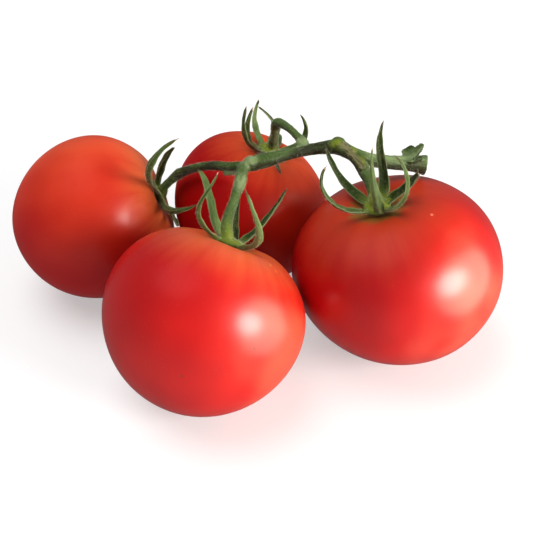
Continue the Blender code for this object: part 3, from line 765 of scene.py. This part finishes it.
def alongRuns(points, runs):
    # for each point the run whose skin is nearest: mm along it, the angle round it, how clear it is of the
    # other runs, from 0 at a fork to 1, and which run it is
    paths = [smoothPath(rows, stems["samples"]) for rows in runs]
    lengths = [np.linalg.norm(np.diff(path[:, :3], axis=0), axis=1) for path in paths]
    travelled = np.concatenate([np.append(0, np.cumsum(steps)) for steps in lengths])
    ahead, across, other = (np.vstack(ways) for ways in zip(*(framesAlong(path[:, :3]) for path in paths)))
    centres = np.vstack(paths)
    gap = np.linalg.norm(points[:, None] - centres[None, :, :3], axis=2) - centres[:, 3]
    nearest = gap.argmin(axis=1)
    starts = np.cumsum([0] + [len(path) for path in paths])
    ofRun = np.stack([gap[:, a:b].min(axis=1) for a, b in zip(starts[:-1], starts[1:])], -1)
    ofRun.sort(axis=1)
    lone = np.ones(len(points))
    if len(runs) > 1:
        lone = smoothStep((ofRun[:, 1] - ofRun[:, 0]) / stems["forkReach"])
    off = points - centres[nearest, :3]
    angle = np.arctan2((off * other[nearest]).sum(axis=1), (off * across[nearest]).sum(axis=1))
    travelled = travelled[nearest] + (off * ahead[nearest]).sum(axis=1)
    return travelled, angle, lone, np.searchsorted(starts, nearest, side="right") - 1


def nearness(points, places, power):
    # 1 at a place, falling off past its reach, the more sharply the higher the power
    near = np.zeros(len(points))
    for place, reach in places:
        near = np.maximum(near, np.exp(-(np.linalg.norm(points - place, axis=1) / reach) ** power))
    return near


def greenShell(shells, runs, shades, yellows, cut):
    # the shells grown into one skin, with what its finish reads stored for each point
    points, quads = grownTogether(shells)
    travelled, angle, lone, run = alongRuns(points, runs)
    normals = normalsOf(points, quads)
    # low ridges along the run, drawn inward only, and a little unevenness
    wander = 0.5 * np.sin(travelled * 0.35) + 0.4 * np.sin(travelled * 0.13 + 1.0)
    furrow = 0.5 - 0.5 * np.cos(stems["ridgeCount"] * angle + wander)
    uneven = np.sin(points @ np.array([1.9, 0.7, 1.1])) * np.sin(points @ np.array([-0.6, 2.1, 1.4]))
    points = points - normals * (stems["ridges"] * furrow * lone + stems["rough"] * (1 + uneven))[:, None]
    onCut = np.zeros(len(points))
    if cut:
        onCut = smoothStep((points - cut["place"])[:, 0] / cut["fade"] + 0.9)
        onCut = onCut * smoothStep(normals[:, 0] * 2 - 0.4)
    # painted shade: each point is darkened the more its face turns from the light, by its run's share
    paintedUnderShade = smoothStep(normals @ np.array(stems["paintedShadeSide"]) / 0.9 + 0.3)
    facts = dict(
        fibre=np.stack([np.cos(angle), np.sin(angle), travelled * stems["fibrePitch"]], -1),
        furrow=furrow * lone,
        yellow=nearness(points, yellows, 2), cork=nearness(points, corkPlaces, 4),
        pale=nearness(points, palePlaces, 2), dark=nearness(points, darkPlaces, 2), cut=onCut,
        paintedUnderShade=paintedUnderShade * np.array(shades)[run],
    )
    return points, quads, np.empty((0, 3), np.int64), facts


stemLook = dict(
    patches=95.0, streaks=4.5, streakDepth=0.00015, blotches=380.0, grain=2200.0, grainDepth=0.00005,
    shade=paint(60, 82, 32), green=((0.3, 0.7, 1.0), paint(76, 100, 44)),
    pale=((0.15, 0.75, 0.85), paint(130, 148, 98)), dark=((0.2, 0.8, 0.92), paint(32, 29, 14)),
    furrow=((0.3, 1.0, 0.4), paint(50, 70, 20)), streak=((0.42, 0.75, 0.5), paint(42, 56, 16)),
    # the last colour on this line is painted shade, laid on the side turned from the light
    paleStreak=((0.4, 0.22, 0.3), paint(118, 138, 84)), paintedUnderShade=((0.05, 0.9, 0.85), paint(30, 34, 10)),
    yellowFray=0.2, yellow=((0.1, 1.0, 0.85), paint(122, 136, 28)),
    corkFray=0.35, cork=(0.45, 0.75, 0.85), corkRough=0.9, corkPale=paint(138, 130, 92),
    dashes=9.0, dash=((0.48, 0.58, 1.0), paint(54, 50, 30)),
    pith=paint(176, 186, 132), pithSpot=((0.4, 0.65, 1.0), paint(122, 130, 72)), cut=(0.3, 0.8, 0.9),
)


def stemFinish():
    finish, tree, shader = newFinish("stemGreen", **greenGloss, **{"Subsurface Weight": 0.05})
    where = put(tree, "TexCoord").outputs["Object"]
    fibre = direction(tree, "fibre")
    furrow, yellow, cork, cut = (reading(tree, name) for name in ("furrow", "yellow", "cork", "cut"))
    pale, dark, paintedUnderShade = (reading(tree, name) for name in ("pale", "dark", "paintedUnderShade"))
    streaks = cloud(tree, fibre, stemLook["streaks"], 5.0, 0.62)
    patchy = cloud(tree, where, stemLook["patches"], 3.0)
    blotch = cloud(tree, where, stemLook["blotches"], 3.0)
    colour = layer(tree, stemLook["shade"], patchy, *stemLook["green"])
    colour = layer(tree, colour, pale, *stemLook["pale"])
    colour = layer(tree, colour, dark, *stemLook["dark"])
    colour = layer(tree, colour, furrow, *stemLook["furrow"])
    colour = layer(tree, colour, streaks, *stemLook["streak"])
    colour = layer(tree, colour, streaks, *stemLook["paleStreak"])
    yellow = frayed(tree, yellow, patchy, 0.2, stemLook["yellowFray"])
    colour = layer(tree, colour, yellow, *stemLook["yellow"])
    # painted shade on the side turned from the light
    colour = layer(tree, colour, paintedUnderShade, *stemLook["paintedUnderShade"])
    # cork with short dark dashes in it, then the pale pith of the cut end
    cork = cover(tree, frayed(tree, cork, blotch, 0.25, stemLook["corkFray"]), stemLook["cork"])
    dashed = layer(tree, stemLook["corkPale"], cloud(tree, fibre, stemLook["dashes"], 2.0), *stemLook["dash"])
    colour = mixed(tree, cork, colour, dashed)
    pith = layer(tree, stemLook["pith"], blotch, *stemLook["pithSpot"])
    colour = layer(tree, colour, cut, stemLook["cut"], pith)
    rough = between(tree, streaks, 0.3, 0.7, 0.46, 0.62)
    rough = sums(tree, "MAXIMUM", rough, sums(tree, "MULTIPLY", cork, stemLook["corkRough"]))
    bump = ridge(tree, streaks, stemLook["streakDepth"], 0.8)
    bump = ridge(tree, cloud(tree, where, stemLook["grain"], 3.0), stemLook["grainDepth"], 0.6, bump)
    dress(tree, shader, colour, rough, bump)
    return finish


# fine pale hairs on everything green

fuzz = dict(
    length=(0.25, 0.8), thick=0.016, lean=0.6, leastRise=0.25, rootDepth=0.05, margin=0.05,
    stemPerArea=6.0, bladePerArea=2.5, patches=300.0, dull=paint(206, 214, 180), bright=paint(236, 238, 222),
)


def hairShell(points, quads, perArea):
    # straight three-sided needles, rooted evenly over the skin and leaning at random; those that lie too
    # flat or would leave the CAD model's box are left out
    first, second = points[quads[:, 1]] - points[quads[:, 0]], points[quads[:, 3]] - points[quads[:, 0]]
    area = np.linalg.norm(np.cross(first, second), axis=1)
    number = int(area.sum() * perArea)
    chosen = dice.choice(len(quads), number, p=area / area.sum())
    u, w = dice.uniform(size=(2, number, 1))
    root = points[quads[chosen, 0]] + first[chosen] * u + second[chosen] * w
    normal = np.cross(first[chosen], second[chosen])
    normal = normal / np.maximum(np.linalg.norm(normal, axis=1, keepdims=True), 1e-9)
    way = normal + dice.normal(size=(number, 3)) * fuzz["lean"]
    way = way / np.linalg.norm(way, axis=1, keepdims=True)
    tip = root + way * dice.uniform(*fuzz["length"], (number, 1))
    low, high = np.array(cadBox[0]) / mm, np.array(cadBox[1]) / mm
    inBox = np.all((tip > low + fuzz["margin"]) & (tip < high - fuzz["margin"]), axis=1)
    fits = inBox & ((way * normal).sum(axis=1) > fuzz["leastRise"])
    root, way, tip = root[fits] - normal[fits] * fuzz["rootDepth"], way[fits], tip[fits]
    one = np.cross(way, [0.31, 0.77, 0.55])
    one = one / np.linalg.norm(one, axis=1, keepdims=True)
    two = np.cross(way, one)
    base = [root + fuzz["thick"] * (one * math.cos(a) + two * math.sin(a)) for a in np.radians([0, 120, 240])]
    shape = np.stack([*base, tip], 1)
    start = np.arange(len(root))[:, None, None] * 4
    faces = start + np.array([[0, 1, 3], [1, 2, 3], [2, 0, 3], [0, 2, 1]])
    return shape.reshape(-1, 3), np.empty((0, 4), np.int64), faces.reshape(-1, 3), {}


def hairFinish():
    finish, tree, shader = newFinish("paleHair", Roughness=0.5)
    patchy = cloud(tree, put(tree, "TexCoord").outputs["Object"], fuzz["patches"], 1.0)
    tree.links.new(mixed(tree, patchy, fuzz["dull"], fuzz["bright"]), shader.inputs["Base Color"])
    return finish


def makeGreens():
    leafGreen, stemGreen, hair = sepalFinish(), stemFinish(), hairFinish()
    for key, fruit in fruits.items():
        place, turn = stemEnd(fruit)
        leaves = joined([bladeShell(sepal, place, turn, blades["steps"]) for sepal in sepals[key]])
        addPiece("sepals" + key.title(), leaves, leafGreen, ["calyx_" + key])
        # the stalk, the swelling and the roots of the sepals as one skin
        feet = np.array(stalkFeet[key])
        middles = place + turn[:, 2] * feet[:, :1] + np.outer(feet[:, 1], [1, 0, 0])
        rows = stalks[key] + np.column_stack([middles, feet[:, 2]]).tolist()
        sizes = np.array([swelling["radius"], swelling["radius"], swelling["halfThick"]])
        centre = place + turn[:, 2] * swelling["height"]
        grown = [tubeShell(rows), ballShell(centre, sizes, turn, [sepal[0] for sepal in sepals[key]])]
        grown += [bladeShell(sepal, place, turn, blades["rootSteps"], blades["rootPart"], blades["rootFat"])
                  for sepal in sepals[key]]
        shell = greenShell(grown, [rows], [stems["stalkPaintedShade"]], [(centre, swelling["yellowReach"])], None)
        addPiece("stalk" + key.title(), shell, stemGreen, ["calyx_" + key])
        hairs = joined([hairShell(leaves[0], leaves[1], fuzz["bladePerArea"]),
                        hairShell(shell[0], shell[1], fuzz["stemPerArea"])])
        addPiece("calyxHairs" + key.title(), hairs, hair)
        print("calyx", key, len(leaves[0]), "and", len(shell[0]), "points,", len(hairs[0]) // 4, "hairs")
    grown = [tubeShell(rows) for rows in stemRuns.values()]
    grown += [ballShell(np.array(bump[:3]), np.full(3, bump[3]), np.eye(3)) for bump in bumps]
    grown += [bladeShell(shred, np.array(heel["place"]), np.eye(3), heel["steps"], 1.0, heel["thick"])
              for shred in heel["skins"]]
    shell = greenShell(grown, list(stemRuns.values()), list(paintedRunShades.values()), yellowPlaces, cutFace)
    addPiece("trussStem", shell, stemGreen, ["truss_stem"])
    hairs = hairShell(shell[0], shell[1], fuzz["stemPerArea"])
    addPiece("stemHairs", hairs, hair)
    print("stem", len(shell[0]), "points,", len(hairs[0]) // 4, "hairs")


floorLook = dict(
    half=3.0, rough=0.6, patches=40.0, pale=paint(244, 244, 243), paler=paint(248, 248, 248),
    seenTint=paint(150, 150, 150), seenShare=0.5, glow=0.42, farGlow=1.0, fade=(0.3, 1.0),
)


def makeFloor():
    half = floorLook["half"]
    flat = bpy.data.meshes.new("paleFloor")
    corners = [(-half, -half, 0), (half, -half, 0), (half, half, 0), (-half, half, 0)]
    flat.from_pydata(corners, [], [(0, 1, 2, 3)])
    floor = bpy.data.objects.new("paleFloor", flat)
    bpy.context.scene.collection.objects.link(floor)
    finish, tree, shader = newFinish("paleFloor", Roughness=floorLook["rough"])
    where = put(tree, "TexCoord").outputs["Object"]
    colour = mixed(tree, cloud(tree, where, floorLook["patches"], 3.0), floorLook["pale"], floorLook["paler"])
    # where it is seen it is greyer and glows, so that the red it picks up and the shadows stay faint
    seen = put(tree, "LightPath").outputs["Is Camera Ray"]
    colour = mixed(tree, seen, colour, mixed(tree, floorLook["seenShare"], colour, floorLook["seenTint"]))
    tree.links.new(colour, shader.inputs["Base Color"])
    # far from the truss it glows as the room does, so that no edge shows behind it
    far = put(tree, "VectorMath", {0: where}, operation="LENGTH").outputs["Value"]
    shader.inputs["Emission Color"].default_value = (1.0, 1.0, 1.0, 1.0)
    near, away = floorLook["fade"]
    glow = between(tree, far, near, away, floorLook["glow"], floorLook["farGlow"])
    tree.links.new(sums(tree, "MULTIPLY", glow, seen), shader.inputs["Emission Strength"])
    flat.materials.append(finish)
    floor.visible_glossy = False    # the skins mirror the room, not the floor
    print("floor laid")


setStudio()
makeFloor()
makeTomatoes()
makeGreens()
